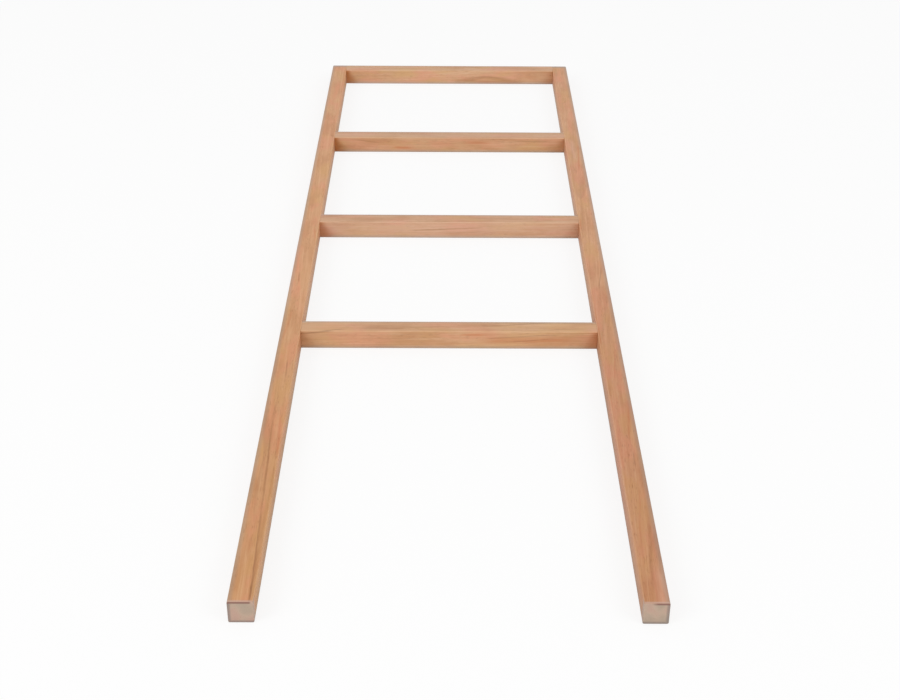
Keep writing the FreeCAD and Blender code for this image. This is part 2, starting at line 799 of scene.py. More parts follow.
@dataclass(frozen=True)
class Grain:
    """How one stick was sawn from its log, and how it has aged.

    Lengths are in millimetres from the stick's middle. A stick's first end is its foot or left end.

    Attributes:
        seed: Sets this stick's figure apart from the others'.
        pith: How far the log's heart is across and below the stick.
        drift: How far the grain runs off across and upwards for each millimetre along the stick.
        figure: How strongly the growth rings show, from 0 to 1.
        tones: What the whole colour is multiplied by: one tone, or one by each end.
        streaks: The streaks that stand out.
        ring: The width of a year's growth.
        turn: The stretch over which the first tone turns into the other.
        shade_by_ends: How strong the painted shade in the inside corners is by the first end and by the
            other, on a rung.
        foot_line_stretch: The stretch of a foot's front edge that a dark line runs along, across the stick.
    """

    seed: float
    pith: tuple[float, float]
    drift: tuple[float, float]
    figure: float
    tones: tuple[tuple[float, float, float], ...]
    streaks: tuple[Streak, ...]
    ring: float = 3.4
    turn: tuple[float, float] = (-200.0, 200.0)
    shade_by_ends: tuple[float, float] = (0.0, 0.0)
    foot_line_stretch: tuple[float, float] = (0.0, 0.0)


class StickGraph(Graph):
    """The nodes of one stick's material, with the stick's own coordinates in millimetres.

    They start from the stick's middle, and the stick is turned to lie along Y, so that the grain is
    drawn in one way on all six.
    """

    seed_step: ClassVar[Vector] = Vector((37.0, 911.0, 53.0))  # how far one seed moves the clouds

    def __init__(self, name: str, stick: "Stick") -> None:
        """Starts the material of a stick and finds its coordinates.

        Args:
            name: The material's name.
            stick: The stick.
        """
        super().__init__(bpy.data.materials.new(name))
        self.stick = stick
        turn = math.pi / 2 if stick.run is Way.ACROSS else 0.0
        middle = Matrix.Rotation(turn, 3, "Z") @ (stick.box.middle * PER_METRE)
        feeds = {
            "Vector": self.add("ShaderNodeTexCoord", {}).outputs["Object"],
            "Location": -middle,
            "Rotation": (0, 0, turn),
            "Scale": (PER_METRE, PER_METRE, PER_METRE),
        }
        place = self.add("ShaderNodeMapping", feeds)
        axes = self.add("ShaderNodeSeparateXYZ", {0: place}).outputs
        self.across, self.along, self.up = (Reading(self, axis) for axis in axes)
        size = stick.box.size * PER_METRE / 2
        self.half = Vector((size[stick.run.other], size[stick.run], size[Way.UP]))
        drift_across, drift_up = stick.grain.drift
        feeds = {
            "Vector": place,
            "Location": self.seed_step * stick.grain.seed,
            "Rotation": (-math.atan(drift_up), 0, math.atan(drift_across)),
        }
        self.fibred = self.add("ShaderNodeMapping", feeds)

    def cloud(self, figure: Figure) -> Reading:
        """Lays clouds along the fibres."""
        return self.noise(self.fibred, figure, Way.ALONG)

    def by_face(self, outwards: Reading, start: float, end: float) -> Reading:
        """Eases in between two depths under the face that a coordinate points out of."""
        return outwards.ramp(self.half.z - start, self.half.z - end)


@dataclass(frozen=True)
class Teak:
    """Sanded teak with a thin coat of oil.

    Lengths are in millimetres, and shares go from 0 to 1.

    Attributes:
        heart: The wood's main colour.
        pale: The colour of its lighter fibres and of the painted highlight along the front edges, which is
            partly rubbed wear.
        brown: The colour of its darker fibres.
        pink: The colour of its rosy patches.
        honey: The colour of its yellow patches.
        deep: The colour of the patches where it is darker.
        line: The colour of its growth rings.
        pore: The colour of its open pores.
        edge_grime_and_shade: The colour of the dulled edges, darker and greyer partly from handling and
            partly as painted shade.
        end: The colour of its bare sawn ends.
        end_rose: The colour of the rosy patches there.
        end_grey: The colour of the greyer patches and rings there.
        end_rim_grime_and_shade: The colour of their rims, darkened partly by soiling and partly as painted
            shade.
        foot_line: The colour of the dark line along a foot's front edge.
        foot_edge_highlight: The colour of the painted highlight on the front next to that edge, paler and
            greyer.
        corner_shade: The colour of the painted shade in an inside corner.
        fibre_share: How strongly the fibres colour the wood.
        ring_share: How strongly the growth rings do.
        pore_share: How strongly the pores do.
        highlight_share: How pale the painted edge highlight is.
        dulled_share: How dull the darkened edges are.
        edge: The radius of the eased edges.
        dulled: How far from an edge the darkening reaches.
        roughness: How dull the finish is between its fibres.
        gloss: How much of the light the oil throws back, where 0.5 is a hard varnish.
        relief: How deep the open grain is.
        bump: How much of that depth the light shows.
    """

    heart: Colour = srgb(210, 161, 123)
    pale: Colour = srgb(226, 186, 151)
    brown: Colour = srgb(188, 133, 90)
    pink: Colour = srgb(217, 152, 121)
    honey: Colour = srgb(208, 162, 110)
    deep: Colour = srgb(194, 140, 100)
    line: Colour = srgb(144, 90, 52)
    pore: Colour = srgb(152, 104, 72)
    edge_grime_and_shade: Colour = srgb(168, 156, 148)
    end: Colour = srgb(190, 164, 143)
    end_rose: Colour = srgb(190, 152, 136)
    end_grey: Colour = srgb(166, 150, 132)
    end_rim_grime_and_shade: Colour = srgb(120, 112, 110)
    foot_line: Colour = srgb(134, 94, 82)
    foot_edge_highlight: Colour = srgb(198, 168, 154)
    corner_shade: Colour = srgb(178, 98, 20)
    fibre_share: float = 0.48
    ring_share: float = 0.5
    pore_share: float = 0.4
    highlight_share: float = 0.7
    dulled_share: float = 0.54
    edge: float = 2.0
    dulled: float = 8.0
    roughness: float = 0.47
    gloss: float = 0.4
    relief: float = 0.12
    bump: float = 0.6

    def make(self, name: str, stick: "Stick") -> bpy.types.Material:
        """Makes the material of one stick.

        Args:
            name: The material's name.
            stick: The stick that it is for.

        Returns:
            The material.
        """
        graph = StickGraph(name, stick)
        coat = Coat(graph, self.heart)
        fibres, pores, rings = self._fibres(graph), self._pores(graph), self._rings(graph)
        self._lay_patches(graph, coat)
        coat.lay(fibres.ramp(0.5, 0.66, 0.0, self.fibre_share), self.pale)
        coat.lay(fibres.ramp(0.48, 0.33, 0.0, self.fibre_share), self.brown)
        coat.lay(rings * self.ring_share, self.line)
        coat.lay(pores * self.pore_share, self.pore)
        self._draw_streaks(graph, coat)
        self._wear_and_shade_edges(graph, coat)
        # Painted shade, warm and dark, in the inside corners where rung and stile meet.
        coat.lay(stick.corner_shading(graph), self.corner_shade)
        tones = stick.grain.tones
        tone = Coat(graph, (*tones[0], 1.0))
        tone.lay(graph.along.ramp(*stick.grain.turn), (*tones[-1], 1.0))
        coat.lay(1.0, tone.colour, "MULTIPLY")
        stick.dress_ends(graph, coat, self, rings)
        height = fibres * 0.5 + rings * 0.25 - pores
        feeds = {"Strength": self.bump, "Distance": self.relief * MM, "Height": height}
        feeds = {
            "Base Color": coat.colour,
            "Roughness": fibres * 0.1 + pores * 0.15 + self.roughness,
            "Specular IOR Level": self.gloss,
            "Normal": graph.add("ShaderNodeBump", feeds),
        }
        return graph.finish(graph.add("ShaderNodeBsdfPrincipled", feeds))

    def _fibres(self, graph: StickGraph) -> Reading:
        """Lays long fine fibres of uneven lightness."""
        return graph.cloud(Figure.BROAD_FIBRES) * 0.6 + graph.cloud(Figure.FINE_FIBRES) * 0.4

    def _pores(self, graph: StickGraph) -> Reading:
        """Scatters short open pores, thick and thin along the stick."""
        crowding = graph.cloud(Figure.PORE_CROWDS).ramp(0.35, 0.65, 0.25, 1.0)
        return graph.cloud(Figure.PORES).ramp(0.6, 0.7) * crowding

    def _rings(self, graph: StickGraph) -> Reading:
        """Grows yearly rings round the log's heart.

        Args:
            graph: The material's nodes.

        Returns:
            How dark the ring is at a point.
        """
        grain = graph.stick.grain
        bend = (graph.cloud(Figure.RING_BENDS) - 0.5) * (3.2 * grain.ring)
        heart_across = graph.along * grain.drift[0] + grain.pith[0]
        heart_up = graph.along * grain.drift[1] + grain.pith[1]
        squares = (graph.across - heart_across) ** 2.0 + (graph.up - heart_up) ** 2.0
        years = (squares.root() + bend) / grain.ring
        season = years.fraction()
        late_wood = season.ramp(0.3, 0.9) * season.ramp(1.0, 0.9)
        vigour = graph.read("ShaderNodeTexWhiteNoise", {"W": years.whole()}, noise_dimensions="1D")
        comes = graph.cloud(Figure.RING_STRETCHES).ramp(0.35, 0.65, 0.15, 1.0)
        return late_wood * vigour.ramp(0.15, 1.0) * comes * grain.figure

    def _lay_patches(self, graph: StickGraph, coat: Coat) -> None:
        """Drifts the main colour towards rose, honey and a deeper brown in broad patches.

        Args:
            graph: The material's nodes.
            coat: The colour, with the main one on it.
        """
        coat.lay(graph.cloud(Figure.ROSE).ramp(0.44, 0.6, 0.0, 0.7), self.pink)
        for shift, tint, most in ((400.0, self.honey, 0.65), (-700.0, self.deep, 0.6)):
            feeds = {"Vector": graph.fibred, "Location": (shift, shift / 3, shift / 7)}
            patches = graph.noise(graph.add("ShaderNodeMapping", feeds), Figure.PATCHES, Way.ALONG)
            coat.lay(patches.ramp(0.47, 0.64, 0.0, most), tint)

    def _draw_streaks(self, graph: StickGraph, coat: Coat) -> None:
        """Draws the streaks that stand out in a stick's grain.

        Args:
            graph: The material's nodes.
            coat: The colour so far.
        """
        waver = (graph.cloud(Figure.STREAK_WAVER) - 0.5) * 2.4
        broken = graph.cloud(Figure.STREAK_BREAKS).ramp(0.3, 0.6, 0.45, 1.0)
        for streak in graph.stick.grain.streaks:
            coat.lay(self._streak(graph, streak, waver) * broken, streak.stain.value)

    def _streak(self, graph: StickGraph, streak: Streak, waver: Reading) -> Reading:
        """Finds where one streak shows.

        Args:
            graph: The material's nodes.
            streak: The streak.
            waver: How far it strays from its line at a point.

        Returns:
            How strongly it shows at a point.
        """
        outwards, crossing = (getattr(graph, name) for name in streak.face.value)
        line = graph.along.ramp(streak.start, streak.end, streak.at_start, streak.at_end) + waver
        if streak.bow:
            middle, half = (streak.start + streak.end) / 2, (streak.end - streak.start) / 2
            line = line + abs(graph.along - middle).ramp(half, 0.0, 0.0, streak.bow)
        body = abs(crossing - line).ramp(streak.width, 0.0)
        starts = graph.along.ramp(streak.start, streak.start + streak.fade)
        ends = graph.along.ramp(streak.end, streak.end - streak.fade)
        there = graph.by_face(outwards, self.edge + 0.3, self.edge * 0.45)
        return body * starts * ends * there * streak.strength

    def _wear_and_shade_edges(self, graph: StickGraph, coat: Coat) -> None:
        """Paints a highlight along the front edge on the highlight side, partly as rubbed wear, and darkens
        and greys the other edges, partly as handling wear and partly as painted shade, and the sides
        towards the back as painted shade.

        Args:
            graph: The material's nodes.
            coat: The colour so far.
        """
        stick, off_across = graph.stick, abs(graph.across)
        nearest = off_across.least(abs(graph.up))
        worn = graph.cloud(Figure.WEAR).ramp(0.3, 0.7, 0.35, 0.85)
        # Painted highlight along the front edge on the highlight side, partly also rubbed wear.
        highlit = (graph.across * stick.highlight_side).ramp(-1.0, 1.0) * graph.up.ramp(-1.0, 1.0)
        on_arris = graph.by_face(nearest, self.edge, self.edge * 0.4)
        coat.lay(on_arris * highlit * worn * self.highlight_share, self.pale)
        # Darker, greyer edges, partly handling wear and partly painted shade; the sides get painted shade,
        # darker towards the back.
        by_arris = graph.by_face(nearest, self.dulled, self.edge * 0.5)
        dulled = by_arris * (1.0 - highlit) * self.dulled_share
        low = graph.half.z - 3.0
        low_down = graph.up.ramp(low, -low, 0.0, stick.side_shade)
        on_side = graph.by_face(off_across, 1.0, 0.2)
        coat.lay(dulled.most(on_side * low_down), self.edge_grime_and_shade)

    def bare_end(self, graph: StickGraph, rings: Reading) -> Value:
        """Colours a sawn end, where the rings show as arcs, the pores as dots and the rims are darker,
        partly soiled and partly painted shade.

        Args:
            graph: The material's nodes.
            rings: How dark the rings are.

        Returns:
            The end's colour.
        """
        mottle = graph.cloud(Figure.END_MOTTLE)
        end = Coat(graph, self.end)
        end.lay(mottle.ramp(0.55, 0.35, 0.0, 0.7), self.end_rose)
        end.lay(mottle.ramp(0.45, 0.7, 0.0, 0.6), self.end_grey)
        end.lay(rings * self.ring_share, self.end_grey)
        end.lay(graph.cloud(Figure.END_PORES).ramp(0.64, 0.74, 0.0, self.pore_share), self.pore)
        # Rims on the outer side and the back of the end made darker: partly soiling, partly painted shade.
        outermost = (graph.across * -graph.stick.highlight_side).most(graph.up * -1.0)
        dark_rim = graph.by_face(outermost, 5.0, 1.8) * graph.along.ramp(-1.0, 1.0, 0.62, 0.35)
        end.lay(dark_rim, self.end_rim_grime_and_shade)
        return end.colour


@dataclass(frozen=True)
class DowelWood:
    """Bare hardwood dowel rod: pale, close-grained and flecked.

    Attributes:
        body: The main colour.
        fleck: The colour of the short flecks.
        roughness: How dull the bare wood is.
        relief: How deep the fibres are, in millimetres.
        bump: How much of that depth the light shows, from 0 to 1.
    """

    body: Colour = srgb(214, 178, 132)
    fleck: Colour = srgb(176, 132, 90)
    roughness: float = 0.65
    relief: float = 0.06
    bump: float = 0.5

    def make(self) -> bpy.types.Material:
        """Makes the material, with its fibres across the ladder as the dowels lie.

        Returns:
            The material.
        """
        graph = Graph(bpy.data.materials.new("dowel_beech"))
        feeds = {
            "Vector": graph.add("ShaderNodeTexCoord", {}).outputs["Object"],
            "Scale": (PER_METRE, PER_METRE, PER_METRE),
        }
        place = graph.add("ShaderNodeMapping", feeds)
        fibres = graph.noise(place, Figure.DOWEL_FIBRES, Way.ACROSS)
        flecks = graph.noise(place, Figure.DOWEL_FLECKS, Way.ACROSS).ramp(0.58, 0.68)
        coat = Coat(graph, self.body)
        coat.lay(fibres.ramp(0.35, 0.7, 0.0, 0.4), self.fleck)
        coat.lay(flecks * 0.5, self.fleck)
        feeds = {"Strength": self.bump, "Distance": self.relief * MM, "Height": fibres}
        feeds = {
            "Base Color": coat.colour,
            "Roughness": flecks * 0.1 + self.roughness,
            "Normal": graph.add("ShaderNodeBump", feeds),
        }
        return graph.finish(graph.add("ShaderNodeBsdfPrincipled", feeds))


# The ladder's pieces


@dataclass(frozen=True)
class Stick:
    """A square stick of the ladder, which stands for its node of the frame.

    Attributes:
        node: The node's name.
        grain: How the stick was sawn from its log.
        bores: The dowel holes in it.
        run: The way that it runs.
        lengths: How many lengths its sides are cut into for its map.
        side_shade: How much its sides are painted darker and greyer towards the back, as shade, from 0 to
            1.
        slot: The name of its finish.
    """

    node: str
    grain: Grain
    bores: tuple[Bore, ...]

    run: ClassVar[Way]
    lengths: ClassVar[int]
    side_shade: ClassVar[float] = 0.0
    slot: ClassVar[str] = "teak"

    @property
    def box(self) -> Box:
        """The stick's box in the frame."""
        return Box.of(self.node)

    @property
    def highlight_side(self) -> int:
        """The side, across the stick, of the front edge that gets the painted highlight: 1 or -1."""
        raise NotImplementedError

    def build(self, glued: Workpiece, wood: Teak) -> bpy.types.Object:
        """Makes the finished stick from the glued-up frame.

        Args:
            glued: The eased frame.
            wood: The wood that it is made of.

        Returns:
            The stick.
        """
        piece = glued.copy(f"{self.node}_teak")
        plan = BakeMap(self.box, self.run, self.lengths, self.bores)
        with piece.shaping():
            self.tell_apart(piece)
        for bore in self.bores:
            cutter = bore.cutter()
            piece.apply("BOOLEAN", operation="DIFFERENCE", solver="EXACT", object=cutter.thing)
            cutter.scrap()
        with piece.shaping():
            for place in plan.cuts:
                piece.saw(self.run, place)
        piece.take()
        bpy.ops.object.shade_smooth_by_angle(angle=SOFT)
        piece.apply("WEIGHTED_NORMAL", keep_sharp=True, weight=100)
        plan.lay_out(piece)
        thing = piece.thing
        thing.data.materials.clear()
        thing.data.materials.append(wood.make(thing.name, self))
        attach(thing, BODY)
        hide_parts(self.node)
        return thing

    def tell_apart(self, piece: Workpiece) -> None:
        """Saws this stick out of a copy of the frame and closes its cut faces."""
        raise NotImplementedError

    def corner_shading(self, graph: StickGraph) -> Reading:
        """Tells how much painted shade darkens a point near an inside corner, from 0 to 1."""
        raise NotImplementedError

    def dress_ends(self, graph: StickGraph, coat: Coat, wood: Teak, rings: Reading) -> None:
        """Colours the stick's two ends over its long-grain colour."""
        raise NotImplementedError


@dataclass(frozen=True)
class Stile(Stick):
    """A side rail, from its foot end to its top end.

    Its reaches are in millimetres.

    Attributes:
        rungs: The boxes of the rungs that meet it.
        shade_reach: How far along the inner face the painted shade reaches from under a rung.
        shade_share: How strongly it shows there, from 0 to 1.
        top_reach: How far down from the top edge the edges are darker and greyer.
        foot_reach: How far up the sides it shows from the foot.
    """

    rungs: tuple[Box, ...] = ()
    shade_reach: float = 14.0
    shade_share: float = 0.55
    top_reach: float = 16.0
    foot_reach: float = 16.0

    run: ClassVar[Way] = Way.ALONG
    lengths: ClassVar[int] = 4
    side_shade: ClassVar[float] = 0.5

    @property
    def highlight_side(self) -> int:
        """The side that the rungs are on: 1 or -1."""
        return -1 if self.box.middle.x > 0 else 1

    def tell_apart(self, piece: Workpiece) -> None:
        """Saws the rungs off along the stile's inner face and closes that face.

        Args:
            piece: A copy of the glued-up frame.
        """
        on_left = self.highlight_side > 0
        place = self.box.high.x if on_left else self.box.low.x
        piece.saw(Way.ACROSS, place, Keep.BEHIND if on_left else Keep.AHEAD)
        piece.close_holes()

    def corner_shading(self, graph: StickGraph) -> Reading:
        """Finds the painted shade on the inner face, just under each rung.

        Args:
            graph: The material's nodes.

        Returns:
            How much painted shade there is at a point, from 0 to 1.
        """
        # Painted shade on the stile's inner face just under each rung.
        nearest: Value = 2.0 * graph.half.y
        for rung in self.rungs:
            underside = (rung.low.y - self.box.middle.y) * PER_METRE
            nearest = graph.math("MINIMUM", nearest, abs(graph.along - underside))
        inner = graph.by_face(graph.across * self.highlight_side, 0.6, 0.1)
        return nearest.ramp(self.shade_reach, 0.0) * inner * self.shade_share

    def dress_ends(self, graph: StickGraph, coat: Coat, wood: Teak, rings: Reading) -> None:
        """Darkens and greys the edges at both ends, bares the sawn ends, and paints a highlight on the
        front by the foot's front edge and a dark line along that edge.

        Args:
            graph: The material's nodes.
            coat: The long-grain colour.
            wood: The wood.
            rings: How dark the rings are.
        """
        half = graph.half
        from_top, from_foot = half.y - graph.along, graph.along + half.y
        # Darker and greyer towards the top end, and up the sides from the foot.
        coat.lay(from_top.ramp(self.top_reach, 1.0, 0.0, 0.8), wood.edge_grime_and_shade)
        on_side = graph.by_face(abs(graph.across), 1.0, 0.2)
        coat.lay(from_foot.ramp(self.foot_reach, 1.0) * on_side * 0.7, wood.edge_grime_and_shade)
        coat.lay(abs(graph.along).ramp(half.y - 0.95, half.y - 0.35), wood.bare_end(graph, rings))
        # Painted highlight on the front just above the foot's front edge.
        highlit = from_foot.ramp(0.5, 1.1) * from_foot.ramp(5.0, 1.5)
        coat.lay(highlit * graph.by_face(graph.up, 0.7, 0.2) * 0.7, wood.foot_edge_highlight)
        # A dark line along part of the foot's front edge.
        start, end = self.grain.foot_line_stretch
        on_end = from_foot.ramp(0.9, 0.4) * graph.by_face(graph.up, 2.8, 1.6)
        stretch = graph.across.ramp(start, start + 10.0) * graph.across.ramp(end, end - 3.0)
        coat.lay(on_end * stretch * 0.9, wood.foot_line)


@dataclass(frozen=True)
class Rung(Stick):
    """A cross bar between the stiles.

    Attributes:
        seam: The tiny chamfer round each end, which shows as a hairline at the joint.
        shade_reach: How far from the stile the painted shade reaches, in millimetres, by the front edge and
        by the back edge.
    """

    seam: float = 0.25 * MM
    shade_reach: tuple[float, float] = (12.0, 30.0)

    run: ClassVar[Way] = Way.ACROSS
    lengths: ClassVar[int] = 2

    @property
    def highlight_side(self) -> int:
        """The side that faces the feet."""
        return 1

    def tell_apart(self, piece: Workpiece) -> None:
        """Saws the stiles and the other rungs off, closes the ends and breaks their edges.

        Args:
            piece: A copy of the glued-up frame.
        """
        ends = (self.box.low.x, self.box.high.x)
        for end, keep in zip(ends, (Keep.AHEAD, Keep.BEHIND)):
            piece.saw(Way.ACROSS, end, keep)
        piece.drop_faces(lambda face: not self._has(face.calc_center_median()))
        piece.close_holes()
        piece.pick(Part.EDGE, lambda edge: any(level_with(edge, Way.ACROSS, end) for end in ends))
        piece.round_picked(self.seam, 1)

    def _has(self, place: Vector) -> bool:
        """Tells whether a face centred at a place is on this rung's sides."""
        between = self.box.low.x + TOUCH < place.x < self.box.high.x - TOUCH
        return between and self.box.low.y - TOUCH < place.y < self.box.high.y + TOUCH

    def corner_shading(self, graph: StickGraph) -> Reading:
        """Finds the painted shade on the side that faces the feet, in a wedge by each stile.

        Args:
            graph: The material's nodes.

        Returns:
            How much painted shade there is at a point, from 0 to 1.
        """
        # Painted shade on the rung's side by each stile, in a wedge that widens towards the back.
        to_stile = graph.half.y - abs(graph.along)
        share = to_stile / graph.up.ramp(graph.half.z, -graph.half.z, *self.shade_reach)
        side = graph.by_face(graph.across, 0.6, 0.1)
        amount = graph.along.ramp(-1.0, 1.0, *self.grain.shade_by_ends)
        uneven = graph.cloud(Figure.OIL).ramp(0.3, 0.7, 0.8, 1.0)
        return share.ramp(1.0, 0.1) * side * amount * uneven

    def dress_ends(self, graph: StickGraph, coat: Coat, wood: Teak, rings: Reading) -> None:
        """Darkens the hairline where the rung's end meets the stile.

        Args:
            graph: The material's nodes.
            coat: The long-grain colour.
            wood: The wood.
            rings: How dark the rings are.
        """
        to_stile = graph.half.y - abs(graph.along)
        patchy = graph.cloud(Figure.SEAM) + rings * 0.1
        coat.lay(to_stile.ramp(0.8, 0.1) * patchy.ramp(0.4, 0.62, 0.1, 0.7), wood.line)


@dataclass(frozen=True)
class Ladder:
    """The whole blanket ladder.

    Attributes:
        stile_grain: How each stile was sawn, by its node's name, left one first.
        rung_grain: How each rung was sawn, by its node's name, from the top down.
        wood: The wood of all six sticks.
        dowel_wood: The wood of the dowels.
        sides: The two ends of a rung, in its dowels' names.
        places: The two dowels of a joint, in their names.
    """

    stile_grain: dict[str, Grain]
    rung_grain: dict[str, Grain]
    wood: Teak = Teak()
    dowel_wood: DowelWood = DowelWood()
    sides: tuple[str, str] = ("left", "right")
    places: tuple[str, str] = ("upper", "lower")

    def dowels(self, rungs: list[str], sides: tuple[str, ...]) -> list[str]:
        """Names the dowels of some rungs at some of their ends."""
        return [f"{rung}_{side}_{place}_dowel" for rung in rungs for side in sides for place in self.places]

    def bores(self, rungs: list[str], sides: tuple[str, ...]) -> tuple[Bore, ...]:
        """Lists the holes of those dowels."""
        return tuple(Bore(Box.of(node)) for node in self.dowels(rungs, sides))

    def build(self) -> list[bpy.types.Object]:
        """Builds the sticks and dresses the dowels.

        Returns:
            The six sticks.
        """
        rungs = list(self.rung_grain)
        rung_boxes = tuple(Box.of(rung) for rung in rungs)
        left, right = (Box.of(stile) for stile in self.stile_grain)
        glued = GluedFrame((left, right), rung_boxes).make()
        sticks: list[Stick] = []
        for side, (stile, grain) in zip(self.sides, self.stile_grain.items()):
            sticks.append(Stile(stile, grain, self.bores(rungs, (side,)), rung_boxes))
        for rung, grain in self.rung_grain.items():
            sticks.append(Rung(rung, grain, self.bores([rung], self.sides)))
        made = [stick.build(glued, self.wood) for stick in sticks]
        glued.scrap()
        self._dress_dowels(rungs)
        return made

    def _dress_dowels(self, rungs: list[str]) -> None:
        """Gives every dowel its wood.

        Args:
            rungs: The rungs that the dowels hold.
        """
        material = self.dowel_wood.make()
        for node in self.dowels(rungs, self.sides):
            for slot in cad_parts[node].material_slots:
                slot.material = material
            log.info("%s: dressed in %s", node, material.name)


# The studio


@dataclass(frozen=True)
class Camera:
    """The camera that took the photograph.

    Attributes:
        place: Where it stands, in metres.
        down: How far it looks down, in degrees.
        left: How far it is turned to the left of straight ahead, in degrees.
        roll: How far it is rolled anticlockwise, in degrees.
        lens: Its focal length, in millimetres.
        film: The width of its film, in millimetres.
    """

    place: Vector = Vector((-0.0030, -2.1470, 1.11835))
    down: float = 30.7676
    left: float = -0.1363
    roll: float = 0.3057
    lens: float = 58.704
    film: float = 36.0

    def set_up(self) -> None:
        """Stands the camera in the scene and looks through it."""
        deselect_all()
        bpy.ops.object.camera_add(location=self.place)
        camera = bpy.context.object
        camera.name = "camera"
        turns = ((self.left, "Z"), (90 - self.down, "X"), (self.roll, "Z"))
        turn, tilt, roll = (Matrix.Rotation(math.radians(angle), 4, axis) for angle, axis in turns)
        camera.rotation_euler = (turn @ tilt @ roll).to_euler()
        camera.data.lens = self.lens
        camera.data.sensor_width = self.film
        bpy.context.scene.camera = camera


@dataclass(frozen=True)
class Studio:
    """A white room with soft, even light.

    Attributes:
        floor_side: The side of the floor, in metres.
        floor_drop: How far the floor is under the ladder, in metres, so that they don't share a plane.
        floor_colour: The floor's colour.
        floor_glow: How much of the floor the camera sees as plain white.
        room_colour: The colour of the light from all round.
        dome: The strength of that light.
        backdrop: How bright the room is behind the floor's far edge, to match it.
        key_power: The power of the lamp on the left, in watts.
        fill_power: The power of the lamp on the right, in watts.
        lamp_place: Where the lamp on the right hangs, in metres; the other mirrors it.
        lamp_side: The side of each square lamp, in metres.
    """

    floor_side: float = 120.0
    floor_drop: float = 0.1 * MM
    floor_colour: Colour = srgb(250, 250, 250)
    floor_glow: float = 0.82
    room_colour: Colour = srgb(255, 255, 255)
    dome: float = 0.7
    backdrop: float = 0.94
    key_power: float = 62.0
    fill_power: float = 48.0
    lamp_place: Vector = Vector((3.2, -2.8, 2.8))
    lamp_side: float = 2.5

    def set_up(self) -> None:
        """Lays the floor and lights the room."""
        self._lay_floor()
        self._light_dome()
        self._hang("key_light", self.lamp_place * Vector((-1, 1, 1)), self.key_power)
        self._hang("fill_light", self.lamp_place, self.fill_power)
        bpy.context.scene.view_settings.view_transform = "Standard"

    def _lay_floor(self) -> None:
        """Lays a pale floor that keeps the ladder's shadow and is nearly white to the camera."""
        deselect_all()
        bpy.ops.mesh.primitive_plane_add(size=self.floor_side, location=(0, 0, -self.floor_drop))
        floor = Workpiece("floor").thing
        bpy.ops.object.transform_apply()
        graph = Graph(bpy.data.materials.new("pale_floor"))
        matt = graph.add("ShaderNodeBsdfDiffuse", {"Color": self.floor_colour})
        white = graph.add("ShaderNodeEmission", {"Strength": 1.0})
        seen = Reading(graph, graph.add("ShaderNodeLightPath", {}).outputs["Is Camera Ray"])
        mixed = graph.add("ShaderNodeMixShader", {0: seen * self.floor_glow, 1: matt, 2: white})
        floor.data.materials.append(graph.finish(mixed))

    def _light_dome(self) -> None:
        """Lights the room evenly from all round, and shows it pale to the camera and in gloss."""
        world = bpy.data.worlds.new("white_room")
        graph = Graph(world)
        paths = graph.add("ShaderNodeLightPath", {}).outputs
        seen = graph.math("MAXIMUM", paths["Is Camera Ray"], paths["Is Glossy Ray"])
        strength = seen.most(paths["Is Transmission Ray"]).ramp(0.0, 1.0, self.dome, self.backdrop)
        light = graph.add("ShaderNodeBackground", {"Color": self.room_colour, "Strength": strength})
        graph.add("ShaderNodeOutputWorld", {"Surface": light})
        bpy.context.scene.world = world

    def _hang(self, name: str, place: Vector, power: float) -> None:
        """Hangs a large soft lamp, aimed at the ladder's middle.

        Args:
            name: The lamp's name.
            place: Where it hangs, in metres.
            power: Its power, in watts.
        """
        deselect_all()
        bpy.ops.object.light_add(type="AREA", location=place)
        lamp = bpy.context.object
        lamp.name = name
        lamp.rotation_euler = (-place).to_track_quat("-Z", "Y").to_euler()
        lamp.data.size = self.lamp_side
        lamp.data.energy = power


# This ladder's own timber

LEFT_STILE = Grain(
    seed=1,
    pith=(4, -62),
    drift=(-0.028, 0.012),
    figure=0.45,
    tones=((0.943, 0.858, 0.692), (1.03, 0.973, 0.863)),
    turn=(-500, 0),
    foot_line_stretch=(-25, 13),
    streaks=drawn_on(
        Face.FRONT,
        (-860, -600, 11, 12, 4.5, 0.45, BROWN),
        (-885, -450, 10.4, -1.4, 2.6, 0.6, BROWN),
        (-890, -690, 10.6, 5.6, 1.6, 0.4, DARK, 60),
        (-700, -520, 5.6, -0.4, 1.3, 0.3, DARK, 60),
        (-892, -838, 11, 10.2, 2.2, 0.45, DARK, 14),
        (-600, -480, 13, 8, 2.2, 0.4, RUST),
        (-400, -345, 6, 4, 1.8, 0.4, DARK, 15),
        (-330, -190, -11, -3, 3, 0.35, RUST),
        (-160, 5, 2, -12, 3.6, 0.6, SALMON),
        (-118, -74, -1.6, -3, 2.2, 0.7, BROWN, 14),
        (20, 100, 13, 7.5, 2, 0.6, RUST),
        (430, 480, -13.4, -12.6, 1.4, 0.6, RUST, 12),
        (640, 800, 0, 4, 9, 0.5, SALMON, 60),
        (740, 858, 13.4, 12.6, 2.4, 0.7, RUST),
    ),
)
